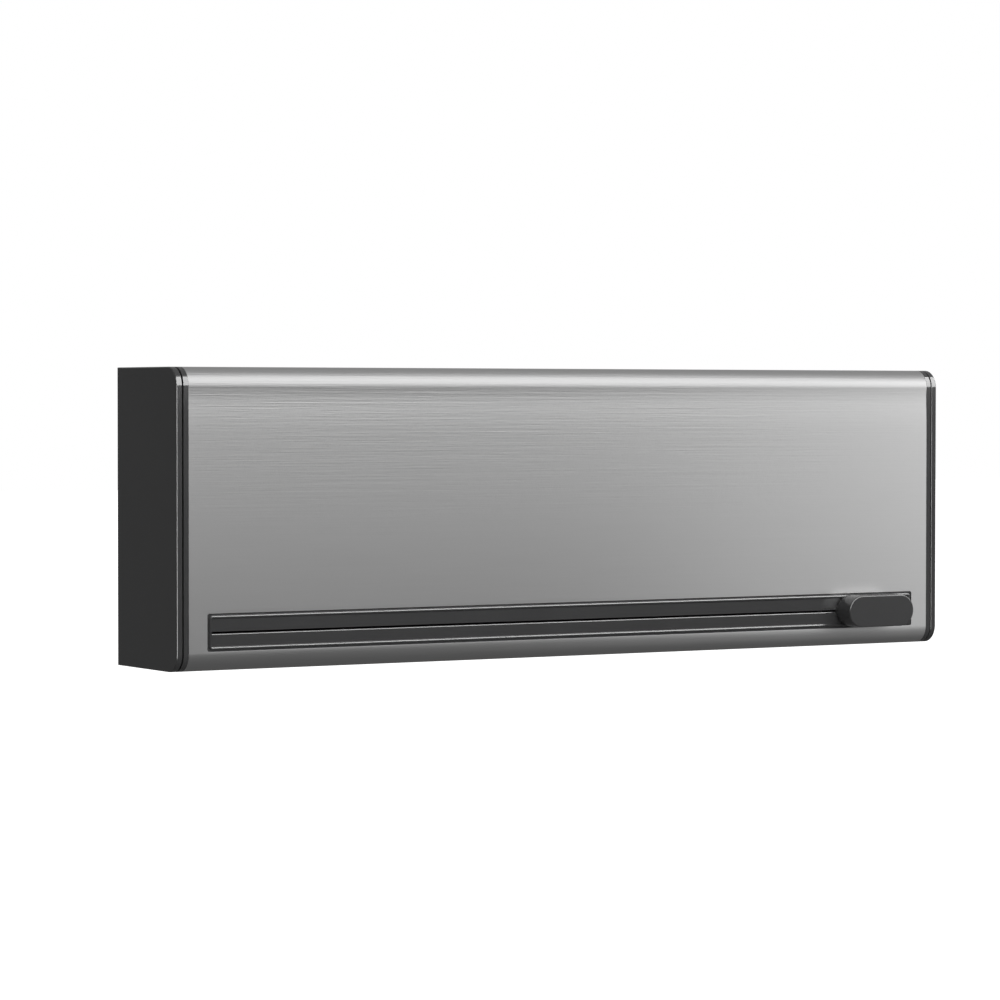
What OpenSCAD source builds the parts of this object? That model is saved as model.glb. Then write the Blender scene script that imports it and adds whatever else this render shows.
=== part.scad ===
// Wall-mounted cling film dispenser: a fixed housing between two end panels, a front lid that
// folds down about the centre of its lower corner, and a cutter that slides along the film slot.
// X runs along the slot, the front faces -Y, the wall plane is y = 0 and +Z is up.
// The origin is the centre of the four wall screw holes.

/* [Body] */
// Overall width
body_w = 380; // [378:0.5:400]
// Overall height
body_h = 122.5; // [121:0.5:130]
// Depth from the wall to the front of the lid
body_d = 55; // [55:0.25:58]
// Radius of the two front edges
corner_r = 7.75; // [7.5:0.25:8]
// Thickness of an end panel
panel_t = 2.6; // [2.4:0.1:2.8]
// Seam between an end panel and the lid
seam = 0.6; // [0.4:0.1:0.8]
// Visible width of the trim at each end of the lid
trim_w = 2.2; // [1.8:0.1:2.6]

/* [Lid] */
// Steel skin thickness
skin_t = 0.8; // [0.6:0.1:0.8]
// Plastic liner thickness behind the skin
liner_t = 1.8; // [1.6:0.1:1.8]
// Distance from the wall to the rear edge of the lid
lid_back = 12; // [11.5:0.25:12.5]

/* [Film slot] */
// Length of the slot bezel
bezel_len = 352.6; // [348:0.1:353]
// Height of the slot bezel
bezel_h = 15.3; // [14.9:0.1:15.5]
// Height of the film slot
slot_h = 0.8; // [0.7:0.1:1]
// Thickness of the bead around the bezel
bead_d = 1.4; // [1.2:0.1:1.4]

/* [Cutter] */
// Length of the cutter knob
knob_len = 35.2; // [32:0.2:36]
// Height of the cutter knob
knob_h = 14; // [12:0.5:14.5]
// How far the knob stands out from the lid
knob_out = 10.4; // [8:0.1:12]
// Blade thickness
blade_t = 0.5; // [0.4:0.05:0.5]

/* [Roll] */
// Width of the film
film_w = 290; // [280:1:292]
// Outer diameter of a full roll
film_d = 44; // [36:1:45]
// Outer diameter of the cardboard core
core_d = 32; // [31:0.5:33]
// Inner diameter of the cardboard core
core_bore = 28; // [27:0.5:28.5]

/* [Wall fixing] */
// Spacing of the wall holes across
hole_dx = 300; // [280:5:310]
// Spacing of the wall holes upward
hole_dz = 60; // [54:2:60]
// Wall hole diameter
hole_d = 5; // [4.5:0.5:5.5]

/* [Hidden] */
$fn = 64;

// Colours
dark = [0.20, 0.20, 0.21];
steel = [0.72, 0.72, 0.71];
bright = [0.80, 0.80, 0.82];
pale = [0.86, 0.86, 0.84];
card = [0.72, 0.60, 0.44];
film_tint = [0.80, 0.88, 0.92];

// Outside limits
half_w = body_w / 2;
top_z = body_h / 2;
low_z = -top_z;
front_y = -body_d;
inner_x = half_w - panel_t;
trim_x = inner_x - seam;
skin_x = trim_x - trim_w;
wall_t = 2.5;
floor_t = 1.8;
eps = 0.01;

// Lid hinge, on the centre of the lower front corner
hinge_y = front_y + corner_r;
hinge_z = low_z + corner_r;
pin_r = 2;
boss_r = 4;
boss_len = 2.5;
run_fit = 0.05;
liner_in = skin_t + 0.05;
liner_back = liner_in + liner_t;
barrel_r = corner_r - liner_in;
barrel_in = corner_r - liner_back;
barrel_top = hinge_z + 1.5;
bush_len = 4.6;

// Slot bezel, its bead and the rail behind it
bezel_z = low_z + corner_r + 0.35 + bezel_h / 2;
bezel_front = front_y + 0.3;
bezel_back = bezel_front + 3;
bezel_fit = 0.15;
bezel_corner = 0.9;
bead_in = 1.35;
slot_half = bezel_len / 2 - bead_in - bead_d / 2 + 0.1;
slot_z = bezel_z;
lip_r = 0.5;
flange_up = 3;
flange_down = 1;
rail_half = bezel_len / 2 - 0.3;
rail_low = slot_z - 7.5;
rail_high = slot_z - 1.5;
rail_mid = (rail_low + rail_high) / 2;
foot_y = bezel_back + 1.2;
head_y = foot_y + 3;
head_back = head_y + 1.5;
rail_end = rail_half - 4.8;

// Cutter, parked at the right end
bead_y = bezel_front - bead_d / 2 + 0.05;
shoe_back = bead_y - 0.3;
shoe_t = 1;
shoe_foot = 8;
knob_front = front_y - knob_out;
carriage_half = 15;
cutter_x = 152.2;
blade_half = 7;
blade_back = -43.4;
carriage_front = bezel_back + 1.8;
carriage_back = -43;
glide = 0.2;

// Roll and its spigots
roll_y = -27.5;
roll_z = 10;
film_left = -156;
core_left = film_left - 5;
core_right = film_left + film_w + 5;
plug_r = core_bore / 2 - run_fit;
plug_len = 8;
spigot_flange_r = 18;
guide_x = core_right + 13;
shank_r = 6;
collar_r = 7.4;
guide_bore_r = 7.5;
pillar_len = 6;

// Parts of the housing
top_front = lid_back - 0.6;
web_low = 46;
notch_half = 32;
lug_z = [-40, 0, 36];
lug_x = inner_x - 5.4;
rod_y = -33;
rod_z = -42;
rod_r = 3;
catch_x = 150;
catch_z = 53.5;
screw_r = 1.45;
pilot_r = 1.5;

// Pulls a [y, z] outline from x0 to x1
module along_x(x0, x1) {
    translate([x0, 0, 0]) rotate([90, 0, 90]) linear_extrude(x1 - x0) children();
}

// Pulls an [x, z] outline from y0 to y1
module along_y(y0, y1) {
    translate([0, y1, 0]) rotate([90, 0, 0]) linear_extrude(y1 - y0) children();
}

// Round bar along X
module bar_x(x0, x1, r) {
    translate([x0, 0, 0]) rotate([0, 90, 0]) cylinder(h = x1 - x0, r = r);
}

// Round bar along Y
module bar_y(y0, y1, r) {
    translate([0, y1, 0]) rotate([90, 0, 0]) cylinder(h = y1 - y0, r = r);
}

// Rectangle given by its two corners
module span(x0, x1, z0, z1) {
    translate([x0, z0]) square([x1 - x0, z1 - z0]);
}

// Rectangle with rounded corners, centred
module round_rect(w, h, r) {
    square([w - 2 * r, h], center = true);
    square([w, h - 2 * r], center = true);
    for (sx = [-1, 1], sz = [-1, 1]) {
        translate([sx * (w / 2 - r), sz * (h / 2 - r)]) circle(r);
    }
}

// Long shape with round ends, centred
module stadium(w, h) {
    square([w - h, h], center = true);
    for (sx = [-1, 1]) translate([sx * (w - h) / 2, 0]) circle(h / 2);
}

// Side outline of the closed dispenser, set in by a distance
module box_profile(inset = 0) {
    r = corner_r - inset;
    span(front_y + corner_r, 0, low_z + inset, top_z - inset);
    span(front_y + inset, front_y + corner_r + eps, low_z + corner_r, top_z - corner_r);
    for (z = [low_z + corner_r, top_z - corner_r]) translate([front_y + corner_r, z]) circle(r);
}

// C-shaped band of the lid between two insets
module lid_band(outer, inner) {
    intersection() {
        difference() {
            box_profile(outer);
            translate([eps, 0]) box_profile(inner);
        }
        union() {
            span(front_y - 1, hinge_y, low_z - 1, top_z + 1);
            span(front_y - 1, -lid_back, 0, top_z + 1);
        }
    }
}

// Rolled part behind the hinge line that closes the underside
module barrel_band() {
    intersection() {
        translate([hinge_y, hinge_z]) difference() {
            circle(barrel_r);
            circle(barrel_in);
        }
        span(hinge_y - eps, hinge_y + barrel_r + 1, low_z, barrel_top);
    }
}

// Pan-head screw: head above z = 0, shank below it
module pan_screw(length, shank = screw_r, head = 2.75, head_h = 1.7) {
    difference() {
        union() {
            translate([0, 0, -length]) cylinder(h = length + eps, r = shank, $fn = 32);
            cylinder(h = head_h * 0.6, r = head, $fn = 32);
            translate([0, 0, head_h * 0.6]) cylinder(h = head_h * 0.4, r1 = head, r2 = head * 0.7, $fn = 32);
        }
        for (a = [0, 90]) rotate(a) translate([-head * 0.55, -0.25, head_h * 0.45]) {
            cube([head * 1.1, 0.5, head_h]);
        }
    }
}

// Fixed housing

module rear_housing() {
    color(dark) difference() {
        along_x(-inner_x, inner_x) {
            span(-wall_t, 0, low_z, top_z);
            span(hinge_y + corner_r + 0.6, 0, low_z, low_z + floor_t);
            span(hinge_y + corner_r + 0.6, hinge_y + corner_r + 2.4, low_z, low_z + 9.25);
            span(-top_front, 0, top_z - 2, top_z);
            span(-top_front, -top_front + 2, web_low, top_z);
        }
        finger_notch();
        for (sx = [-1, 1], sz = [-1, 1]) {
            translate([sx * hole_dx / 2, 0, sz * hole_dz / 2]) bar_y(-wall_t - 1, 1, hole_d / 2);
        }
        for (sx = [-1, 1]) {
            translate([sx * catch_x, 0, catch_z]) bar_y(-top_front - 1, -top_front + 3, 4.05);
            for (z = lug_z) translate([sx * lug_x, 0, z]) {
                bar_y(-wall_t - 1, 1, pilot_r);
                rotate([90, 0, 0]) cylinder(h = 1.6, r1 = 3.1, r2 = pilot_r);
            }
        }
    }
    color(dark) difference() {
        along_x(-notch_half - 1.5, notch_half + 1.5) span(-top_front, -wall_t, web_low, top_z);
        finger_notch();
    }
}

// Recess in the top edge for the finger that pulls the lid forward
module finger_notch() {
    along_x(-notch_half, notch_half) span(-top_front - 1, -4.4, web_low + 3, top_z + 1);
}

module left_end_panel() {
    color(dark) end_panel(-1);
}

module right_end_panel() {
    color(dark) end_panel(1);
}

// End panel with its hinge boss, rod boss, screw lugs and spigot mounting; side is -1 or 1
module end_panel(side) {
    mirror([side < 0 ? 1 : 0, 0, 0]) difference() {
        union() {
            along_x(inner_x, half_w) box_profile();
            translate([0, hinge_y, hinge_z]) bar_x(inner_x - boss_len, inner_x + eps, boss_r);
            translate([0, rod_y, rod_z]) bar_x(inner_x - 6, inner_x + eps, 5);
            for (z = lug_z) along_x(inner_x - 10, inner_x + eps) span(-10.5, -wall_t, z - 4, z + 4);
            if (side > 0) {
                spigot_places() bar_x(inner_x - pillar_len, inner_x + eps, 3.5);
            } else {
                translate([0, roll_y, roll_z]) bar_x(inner_x - 17, inner_x + eps, 5);
            }
        }
        translate([0, hinge_y, hinge_z]) bar_x(inner_x - boss_len - 1, inner_x + 1.5, pin_r + run_fit);
        translate([0, rod_y, rod_z]) bar_x(inner_x - 7, inner_x - 0.5, rod_r + run_fit);
        for (z = lug_z) translate([lug_x, 0, z]) bar_y(-12, -1, pilot_r);
        if (side > 0) {
            spigot_places() bar_x(inner_x - pillar_len - 1, inner_x - 0.4, pilot_r);
        } else {
            translate([0, roll_y, roll_z]) bar_x(inner_x - 18, inner_x - 4, pilot_r);
        }
    }
}

// Three places on a circle round the roll axis
module spigot_places() {
    for (a = [90, 210, 330]) {
        translate([0, roll_y + 13.2 * cos(a), roll_z + 13.2 * sin(a)]) children();
    }
}

module panel_screws() {
    color(bright) for (sx = [-1, 1], z = lug_z) {
        translate([sx * lug_x, -0.1, z]) rotate([90, 0, 0]) difference() {
            union() {
                cylinder(h = 9, r = screw_r, $fn = 32);
                cylinder(h = 1.5, r1 = 3, r2 = screw_r, $fn = 32);
            }
            for (a = [0, 90]) rotate(a) translate([-1.5, -0.25, -1]) cube([3, 0.5, 1.7]);
        }
    }
}

module hinge_pins() {
    color(bright) for (side = [-1, 1]) mirror([side < 0 ? 1 : 0, 0, 0]) {
        translate([0, hinge_y, hinge_z]) bar_x(skin_x - bush_len, inner_x + 1.4, pin_r);
    }
}

module film_rod() {
    color(steel) translate([0, rod_y, rod_z]) bar_x(-inner_x + 0.8, inner_x - 0.8, rod_r);
}

// Core plug and flange, facing the roll along +X, with its shoulder at x = 0
module core_plug() {
    rotate([0, 90, 0]) rotate_extrude() polygon([
        [0, -2], [spigot_flange_r - 0.5, -2], [spigot_flange_r, -1.5], [spigot_flange_r, -0.5],
        [spigot_flange_r - 0.5, 0], [plug_r, 0], [plug_r, plug_len - 2], [plug_r - 1.4, plug_len],
        [0, plug_len]
    ]);
}

module left_spigot() {
    flange_x = core_left;
    color(pale) translate([0, roll_y, roll_z]) difference() {
        union() {
            translate([flange_x, 0, 0]) core_plug();
            bar_x(-inner_x + 0.3, flange_x - 1, 8);
            for (a = [0 : 60 : 300]) rotate([a, 0, 0]) {
                translate([-inner_x + 0.3, -0.8, 7]) cube([flange_x + inner_x - 1, 1.6, 4.5]);
            }
        }
        bar_x(-inner_x - 1, -inner_x + 17.1, 5 + run_fit);
        bar_x(-inner_x, -inner_x + 23, pilot_r);
        bar_x(-inner_x + 21, 0, 3.4);
        bar_x(flange_x + 2, flange_x + plug_len + 1, plug_r - 2);
    }
}

module spigot_screw() {
    color(bright) translate([-inner_x + 21, roll_y, roll_z]) rotate([0, 90, 0]) pan_screw(14);
}

module spigot_guide() {
    color(dark) translate([0, roll_y, roll_z]) difference() {
        union() {
            bar_x(guide_x, inner_x - pillar_len, 9.5);
            bar_x(inner_x - pillar_len - 2.5, inner_x - pillar_len, 17);
            for (a = [30 : 60 : 330]) rotate([a, 0, 0]) {
                translate([inner_x - pillar_len - 14, -0.8, 9]) cube([12, 1.6, 3.5]);
            }
        }
        bar_x(guide_x + 2, inner_x, guide_bore_r);
        bar_x(guide_x - 1, guide_x + 3, shank_r + run_fit);
        translate([0, -roll_y, -roll_z]) spigot_places() bar_x(inner_x - 12, inner_x, pilot_r + 0.1);
    }
}

module guide_screws() {
    color(bright) spigot_places() {
        translate([inner_x - pillar_len - 2.5, 0, 0]) rotate([0, -90, 0]) pan_screw(8);
    }
}

module right_spigot() {
    collar_x = guide_x + 2.05;
    color(pale) translate([0, roll_y, roll_z]) difference() {
        union() {
            translate([core_right, 0, 0]) mirror([1, 0, 0]) core_plug();
            bar_x(core_right + 1, collar_x + 22, shank_r);
            bar_x(collar_x, collar_x + 3, collar_r);
        }
        bar_x(core_right - plug_len - 1, core_right - 2, plug_r - 2);
        bar_x(core_right - plug_len - 1, collar_x + 16, 3.4);
    }
}

// Return spring of the right spigot
module spigot_spring() {
    spring_x = guide_x + 5.2;
    color(bright) translate([spring_x, roll_y, roll_z]) rotate([0, 90, 0]) {
        linear_extrude(inner_x - spring_x - 0.1, twist = -360 * 8, slices = 144, $fn = 8) {
            translate([6.72, 0]) circle(0.5);
        }
    }
}

module catch_magnets() {
    color(steel) for (sx = [-1, 1]) {
        translate([sx * catch_x, 0, catch_z]) bar_y(-top_front + 0.05, -top_front + 1.95, 4);
    }
}

// Lid

module steel_skin() {
    color(steel) difference() {
        along_x(-skin_x, skin_x) lid_band(0, skin_t);
        translate([0, 0, bezel_z]) along_y(front_y - 1, front_y + 2) {
            round_rect(bezel_len, bezel_h, bezel_corner);
        }
    }
}

module lid_liner() {
    pocket_y = -lid_back - 1.1;
    color(dark) difference() {
        union() {
            along_x(-skin_x, skin_x) {
                lid_band(liner_in, liner_back);
                barrel_band();
                span(-lid_back - 2, -lid_back, top_z - liner_back - 10, top_z - liner_back + 1);
            }
            clamp_places() along_y(front_y + liner_back - 1, bezel_back + 0.05) {
                span(-5, 5, bezel_z + 12.2, bezel_z + 19);
            }
        }
        along_y(front_y - 1, front_y + 6) {
            span(
                -bezel_len / 2 - 3.2, bezel_len / 2 + 3.2,
                bezel_z - bezel_h / 2 - flange_down - 0.2, bezel_z + bezel_h / 2 + flange_up + 0.2
            );
        }
        clamp_places() translate([0, 0, bezel_z + 15.5]) bar_y(front_y + 1.5, bezel_back + 1, pilot_r);
        for (sx = [-1, 1]) {
            translate([sx * catch_x, 0, catch_z]) bar_y(pocket_y, -lid_back + 1, 4.05);
            trim_screw_places(sx) translate([0, 0, -4]) cylinder(h = 6.2, r = 1.05, $fn = 32);
        }
    }
}

// Five places along the slot for the bezel clamps
module clamp_places() {
    for (x = [-140 : 70 : 140]) translate([x, 0, 0]) children();
}

// Two places per end where a trim is screwed to the liner; +Z points into the liner
module trim_screw_places(side) {
    translate([side * (skin_x - 4), -30, top_z - liner_back]) children();
    translate([side * (skin_x - 4), front_y + liner_back, 20]) rotate([90, 0, 0]) children();
}

module left_trim() {
    color(dark) mirror([1, 0, 0]) lid_trim();
}

module right_trim() {
    color(dark) lid_trim();
}

// End trim of the lid: a visible rim and a tongue that lies behind the liner
module lid_trim() {
    tongue_in = liner_back + 0.05;
    difference() {
        union() {
            along_x(skin_x, trim_x) {
                lid_band(0, tongue_in);
                barrel_band();
            }
            along_x(skin_x - 8, trim_x) intersection() {
                lid_band(tongue_in, tongue_in + 1.5);
                span(front_y, -lid_back - 2.1, -25, top_z);
            }
        }
        trim_screw_places(1) translate([0, 0, -4]) cylinder(h = 6, r = 1.15, $fn = 32);
    }
}

module trim_screws() {
    color(bright) for (side = [-1, 1]) trim_screw_places(side) {
        translate([0, 0, -1.6]) rotate([180, 0, 0]) pan_screw(3.1, 1, 1.9, 1.1);
    }
}

module hinge_bushes() {
    color(pale) for (side = [-1, 1]) mirror([side < 0 ? 1 : 0, 0, 0]) {
        translate([0, hinge_y, hinge_z]) difference() {
            bar_x(skin_x - bush_len, skin_x - 0.2, barrel_in - 0.02);
            bar_x(skin_x - bush_len - 1, skin_x + 1, pin_r + run_fit);
        }
    }
}

module strike_plates() {
    color(steel) for (sx = [-1, 1]) {
        translate([sx * catch_x, 0, catch_z]) bar_y(-lid_back - 1.08, -lid_back - 0.08, 4);
    }
}

module slot_bezel() {
    color(dark) difference() {
        union() {
            translate([0, 0, bezel_z]) along_y(bezel_front, bezel_back) {
                round_rect(bezel_len - 2 * bezel_fit, bezel_h - 2 * bezel_fit, bezel_corner);
            }
            along_y(front_y + skin_t + 0.1, bezel_back) {
                span(
                    -bezel_len / 2 - 3, bezel_len / 2 + 3,
                    bezel_z - bezel_h / 2 - flange_down, bezel_z + bezel_h / 2 + flange_up
                );
            }
            bezel_bead();
        }
        translate([0, 0, slot_z]) along_y(front_y - 2, bezel_back + 1) stadium(2 * slot_half, slot_h);
        along_x(-slot_half + 0.4, slot_half - 0.4) slot_lip();
        for (sx = [-1, 1]) {
            translate([sx * (rail_half - 2.3), 0, rail_mid]) bar_y(bezel_back - 2.2, bezel_back + 1, 1);
        }
    }
}

// Rounded bead that runs round the bezel
module bezel_bead() {
    half_x = bezel_len / 2 - bead_in;
    half_z = bezel_h / 2 - bead_in;
    r = bead_d / 2;
    translate([0, bezel_front + 0.05, bezel_z]) {
        for (sz = [-1, 1]) translate([0, 0, sz * half_z]) bar_x(-half_x, half_x, r);
        for (sx = [-1, 1]) {
            translate([sx * half_x, 0, -half_z]) cylinder(h = 2 * half_z, r = r);
            for (sz = [-1, 1]) translate([sx * half_x, 0, sz * half_z]) sphere(r);
        }
    }
}

// Waste removed to round the lower lip of the slot
module slot_lip() {
    lip_z = slot_z - slot_h / 2;
    difference() {
        span(bezel_front - 0.5, bezel_front + lip_r, lip_z - lip_r, lip_z + eps);
        translate([bezel_front + lip_r, lip_z - lip_r]) circle(lip_r);
    }
}

module bezel_clamps() {
    color(bright) clamp_places() difference() {
        along_y(bezel_back + 0.1, bezel_back + 1.4) {
            translate([0, bezel_z + 13.2]) round_rect(13, 9.6, 1.5);
        }
        translate([0, 0, bezel_z + 15.5]) bar_y(bezel_back - 1, bezel_back + 3, pilot_r + 0.1);
    }
}

module clamp_screws() {
    color(bright) clamp_places() translate([0, bezel_back + 1.4, bezel_z + 15.5]) {
        rotate([-90, 0, 0]) pan_screw(3.2);
    }
}

module guide_rail() {
    color(bright) difference() {
        union() {
            along_x(-rail_half, rail_half) span(bezel_back + 0.02, foot_y, rail_low, rail_high);
            along_x(-rail_end, rail_end) {
                span(foot_y - eps, head_y + eps, rail_mid - 0.8, rail_mid + 0.8);
                span(head_y, head_back, rail_low, rail_high);
            }
        }
        for (sx = [-1, 1]) {
            translate([sx * (rail_half - 2.3), 0, rail_mid]) bar_y(bezel_back - 1, foot_y + 1, 1.1);
        }
    }
}

module rail_screws() {
    color(bright) for (sx = [-1, 1]) translate([sx * (rail_half - 2.3), foot_y, rail_mid]) {
        rotate([-90, 0, 0]) pan_screw(3.2, 0.95, 1.9, 1.2);
    }
}

// Rubber stops in the upper groove of the rail
module rail_buffers() {
    color([0.1, 0.1, 0.1]) for (side = [-1, 1]) mirror([side < 0 ? 1 : 0, 0, 0]) {
        along_x(cutter_x + carriage_half + 0.5, rail_end) {
            span(foot_y + 0.05, head_y - 0.05, rail_mid + 0.85, rail_high);
        }
    }
}

// Sliding cutter

module cutter_carriage() {
    color(pale) difference() {
        along_x(cutter_x - carriage_half, cutter_x + carriage_half) difference() {
            span(carriage_front, carriage_back, rail_low - 1.2, slot_z + 5);
            span(carriage_front - 1, head_y, rail_mid - 0.8 - glide, rail_mid + 0.8 + glide);
            span(head_y - glide, head_back + glide, rail_low - glide, rail_high + glide);
        }
        translate([cutter_x, 0, slot_z]) {
            blade_outline(blade_t / 2 + 0.02, 0.05);
        }
        carriage_screw_places() translate([0, 0, -9.5]) cylinder(h = 20, r = 1.05, $fn = 32);
    }
}

// The two screw places behind the rail head, at the height of the slot
module carriage_screw_places() {
    for (sx = [-1, 1]) translate([cutter_x + sx * 4, -44.4, slot_z]) children();
}

module carriage_screws() {
    color(bright) carriage_screw_places() translate([0, 0, 5]) pan_screw(13, 1, 1.3, 1);
}

// Blade plate: wide tang in the carriage, slanted cutting edges at the slot, tang in the knob
module blade_outline(half_t, grow = 0) {
    w = blade_half + grow;
    translate([0, 0, -half_t]) linear_extrude(2 * half_t) polygon([
        [-w, blade_back + grow], [-w, carriage_front + 0.6], [-w + 2, bezel_back],
        [-w + 0.6, shoe_back], [-w, shoe_back - 0.4], [-w, knob_front + 4 - grow],
        [w, knob_front + 4 - grow], [w, shoe_back - 0.4], [w - 0.6, shoe_back],
        [w - 2, bezel_back], [w, carriage_front + 0.6], [w, blade_back + grow]
    ]);
}

module cutter_blade() {
    color(bright) difference() {
        translate([cutter_x, 0, slot_z]) blade_outline(blade_t / 2);
        carriage_screw_places() translate([0, 0, -2]) cylinder(h = 4, r = 1.05, $fn = 32);
    }
}

module knob_shoe() {
    color([0.16, 0.16, 0.17]) difference() {
        translate([cutter_x, 0, slot_z]) {
            along_y(shoe_back - shoe_t, shoe_back) stadium(knob_len - 0.2, knob_h - 0.2);
            along_y(shoe_back - eps, bezel_front - 0.15) stadium(knob_len - 0.2, shoe_foot);
        }
        translate([cutter_x, 0, slot_z]) blade_outline(blade_t / 2 + 0.02, 0.05);
    }
}

module cutter_knob() {
    edge = 1;
    color([0.24, 0.24, 0.25]) difference() {
        translate([cutter_x, 0, slot_z]) {
            along_y(knob_front + edge, shoe_back - shoe_t) stadium(knob_len, knob_h);
            knob_face(edge);
        }
        translate([cutter_x, 0, slot_z]) blade_outline(blade_t / 2 + 0.02, 0.05);
    }
}

// Rounded front edge of the knob: a straight middle and two turned ends
module knob_face(edge) {
    end_r = knob_h / 2;
    straight = (knob_len - knob_h) / 2;
    translate([0, knob_front + edge, 0]) {
        along_x(-straight, straight) {
            span(-edge, eps, -end_r + edge, end_r - edge);
            for (sz = [-1, 1]) translate([0, sz * (end_r - edge)]) intersection() {
                circle(edge);
                span(-edge, eps, -edge, edge);
            }
        }
        for (sx = [-1, 1]) translate([sx * straight, 0, 0]) rotate([90, 0, 0]) {
            rotate_extrude() intersection() {
                union() {
                    span(0, end_r - edge, -eps, edge);
                    translate([end_r - edge, 0]) circle(edge);
                }
                span(0, end_r + 1, -eps, edge);
            }
        }
    }
}

// Roll

module film_core() {
    color(card) translate([0, roll_y, roll_z]) difference() {
        bar_x(core_left, core_right, core_d / 2);
        bar_x(core_left - 1, core_right + 1, core_bore / 2);
    }
}

module film_roll() {
    color(film_tint) translate([0, roll_y, roll_z]) difference() {
        bar_x(film_left, film_left + film_w, film_d / 2);
        bar_x(film_left - 1, film_left + film_w + 1, core_d / 2);
    }
}

rear_housing();
left_end_panel();
right_end_panel();
panel_screws();
hinge_pins();
film_rod();
left_spigot();
spigot_screw();
spigot_guide();
guide_screws();
spigot_spring();
right_spigot();
catch_magnets();
steel_skin();
lid_liner();
left_trim();
right_trim();
trim_screws();
hinge_bushes();
strike_plates();
slot_bezel();
bezel_clamps();
clamp_screws();
guide_rail();
rail_screws();
rail_buffers();
cutter_carriage();
carriage_screws();
cutter_blade();
knob_shoe();
cutter_knob();
film_core();
film_roll();
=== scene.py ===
import math

import bmesh
import bpy
from mathutils import Matrix, Vector


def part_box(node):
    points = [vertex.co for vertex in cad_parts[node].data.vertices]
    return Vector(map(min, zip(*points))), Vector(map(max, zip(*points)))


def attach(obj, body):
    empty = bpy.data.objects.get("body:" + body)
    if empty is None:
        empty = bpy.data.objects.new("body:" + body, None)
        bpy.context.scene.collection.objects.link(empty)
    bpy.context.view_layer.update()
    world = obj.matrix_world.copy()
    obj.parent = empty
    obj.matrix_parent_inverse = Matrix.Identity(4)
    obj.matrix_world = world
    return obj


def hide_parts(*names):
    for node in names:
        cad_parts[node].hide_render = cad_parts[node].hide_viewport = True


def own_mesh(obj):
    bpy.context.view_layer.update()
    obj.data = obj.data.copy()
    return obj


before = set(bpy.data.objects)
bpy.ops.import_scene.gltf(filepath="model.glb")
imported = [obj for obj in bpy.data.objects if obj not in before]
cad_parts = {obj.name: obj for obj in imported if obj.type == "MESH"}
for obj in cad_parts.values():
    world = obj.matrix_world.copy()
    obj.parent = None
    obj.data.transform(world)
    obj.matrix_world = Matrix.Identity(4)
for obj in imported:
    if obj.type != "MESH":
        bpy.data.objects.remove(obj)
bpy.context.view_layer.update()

MM = 0.001

# ---------------------------------------------------------------- sizes, in millimetres, from the frame


def cad(node):
    """Lowest and highest corner of a CAD node, in millimetres."""
    low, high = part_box(node)
    return low / MM, high / MM


SKIN_LOW, SKIN_HIGH = cad("steel_skin")
PANEL_HIGH = cad("right_end_panel")[1]
TRIM_HIGH = cad("right_trim")[1]
BEZEL_LOW, BEZEL_HIGH = cad("slot_bezel")
KNOB_LOW, KNOB_HIGH = cad("cutter_knob")
SHOE_LOW, SHOE_HIGH = cad("knob_shoe")
CORE_LOW, CORE_HIGH = cad("film_core")
ROLL_LOW, ROLL_HIGH = cad("film_roll")
SPRING_LOW, SPRING_HIGH = cad("spigot_spring")
ROD_LOW, ROD_HIGH = cad("film_rod")

TOP_Z = SKIN_HIGH.z
LOW_Z = SKIN_LOW.z
FRONT_Y = SKIN_LOW.y
LID_BACK_Y = SKIN_HIGH.y
SKIN_X = SKIN_HIGH.x
TRIM_X = TRIM_HIGH.x
PANEL_X = PANEL_HIGH.x
CORNER_R = 7.75
CORNER_Y = FRONT_Y + CORNER_R
CORNER_TOP = TOP_Z - CORNER_R
CORNER_LOW = LOW_Z + CORNER_R
PANEL_T = 2.6
PANEL_IN = PANEL_X - PANEL_T
SKIN_T = 0.8
LINER_BACK = 2.65
BARREL_OUT = 6.9
BARREL_IN = 5.1
BARREL_TOP = 1.5
ARC_STEPS = 24

WINDOW_HALF = 176.3
WINDOW_H = 15.3
BEZEL_FIT = 0.15
BEZEL_CORNER = 0.9
BEAD_R = 0.7
BEAD_IN = 1.35
BEZEL_FRONT = FRONT_Y + 0.3
SLOT_Z = (SHOE_LOW.z + SHOE_HIGH.z) / 2
SLOT_H = 0.8
SLOT_HALF = WINDOW_HALF - BEAD_IN - BEAD_R + 0.1

SHOE_T = 1.0
FOOT_H = 8.0

ROLL_Y = (ROLL_LOW.y + ROLL_HIGH.y) / 2
ROLL_Z = (ROLL_LOW.z + ROLL_HIGH.z) / 2
ROD_Y = (ROD_LOW.y + ROD_HIGH.y) / 2
ROD_Z = (ROD_LOW.z + ROD_HIGH.z) / 2


# ---------------------------------------------------------------- mesh helpers


def arc(cu, cv, r, start, end, steps):
    """Points on an arc, with angles in degrees from the first axis."""
    turns = [math.radians(start + (end - start) * i / steps) for i in range(steps + 1)]
    return [(cu + r * math.cos(t), cv + r * math.sin(t)) for t in turns]


def along_x(u, v, w):
    """A profile point (y, z) pulled along X."""
    return Vector((w, u, v)) * MM


def along_y(u, v, w):
    """An outline point (x, z) pulled along Y."""
    return Vector((u, w, v)) * MM


def sheet_of_loops(bm, loops, place):
    """Joins rings of (outline, depth) into one skin and caps its two ends."""
    rings = [[bm.verts.new(place(u, v, w)) for u, v in outline] for outline, w in loops]
    count = len(rings[0])
    for low, high in zip(rings, rings[1:]):
        for i in range(count):
            j = (i + 1) % count
            bm.faces.new((low[i], low[j], high[j], high[i]))
    bm.faces.new(rings[0][::-1])
    bm.faces.new(rings[-1])


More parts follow.
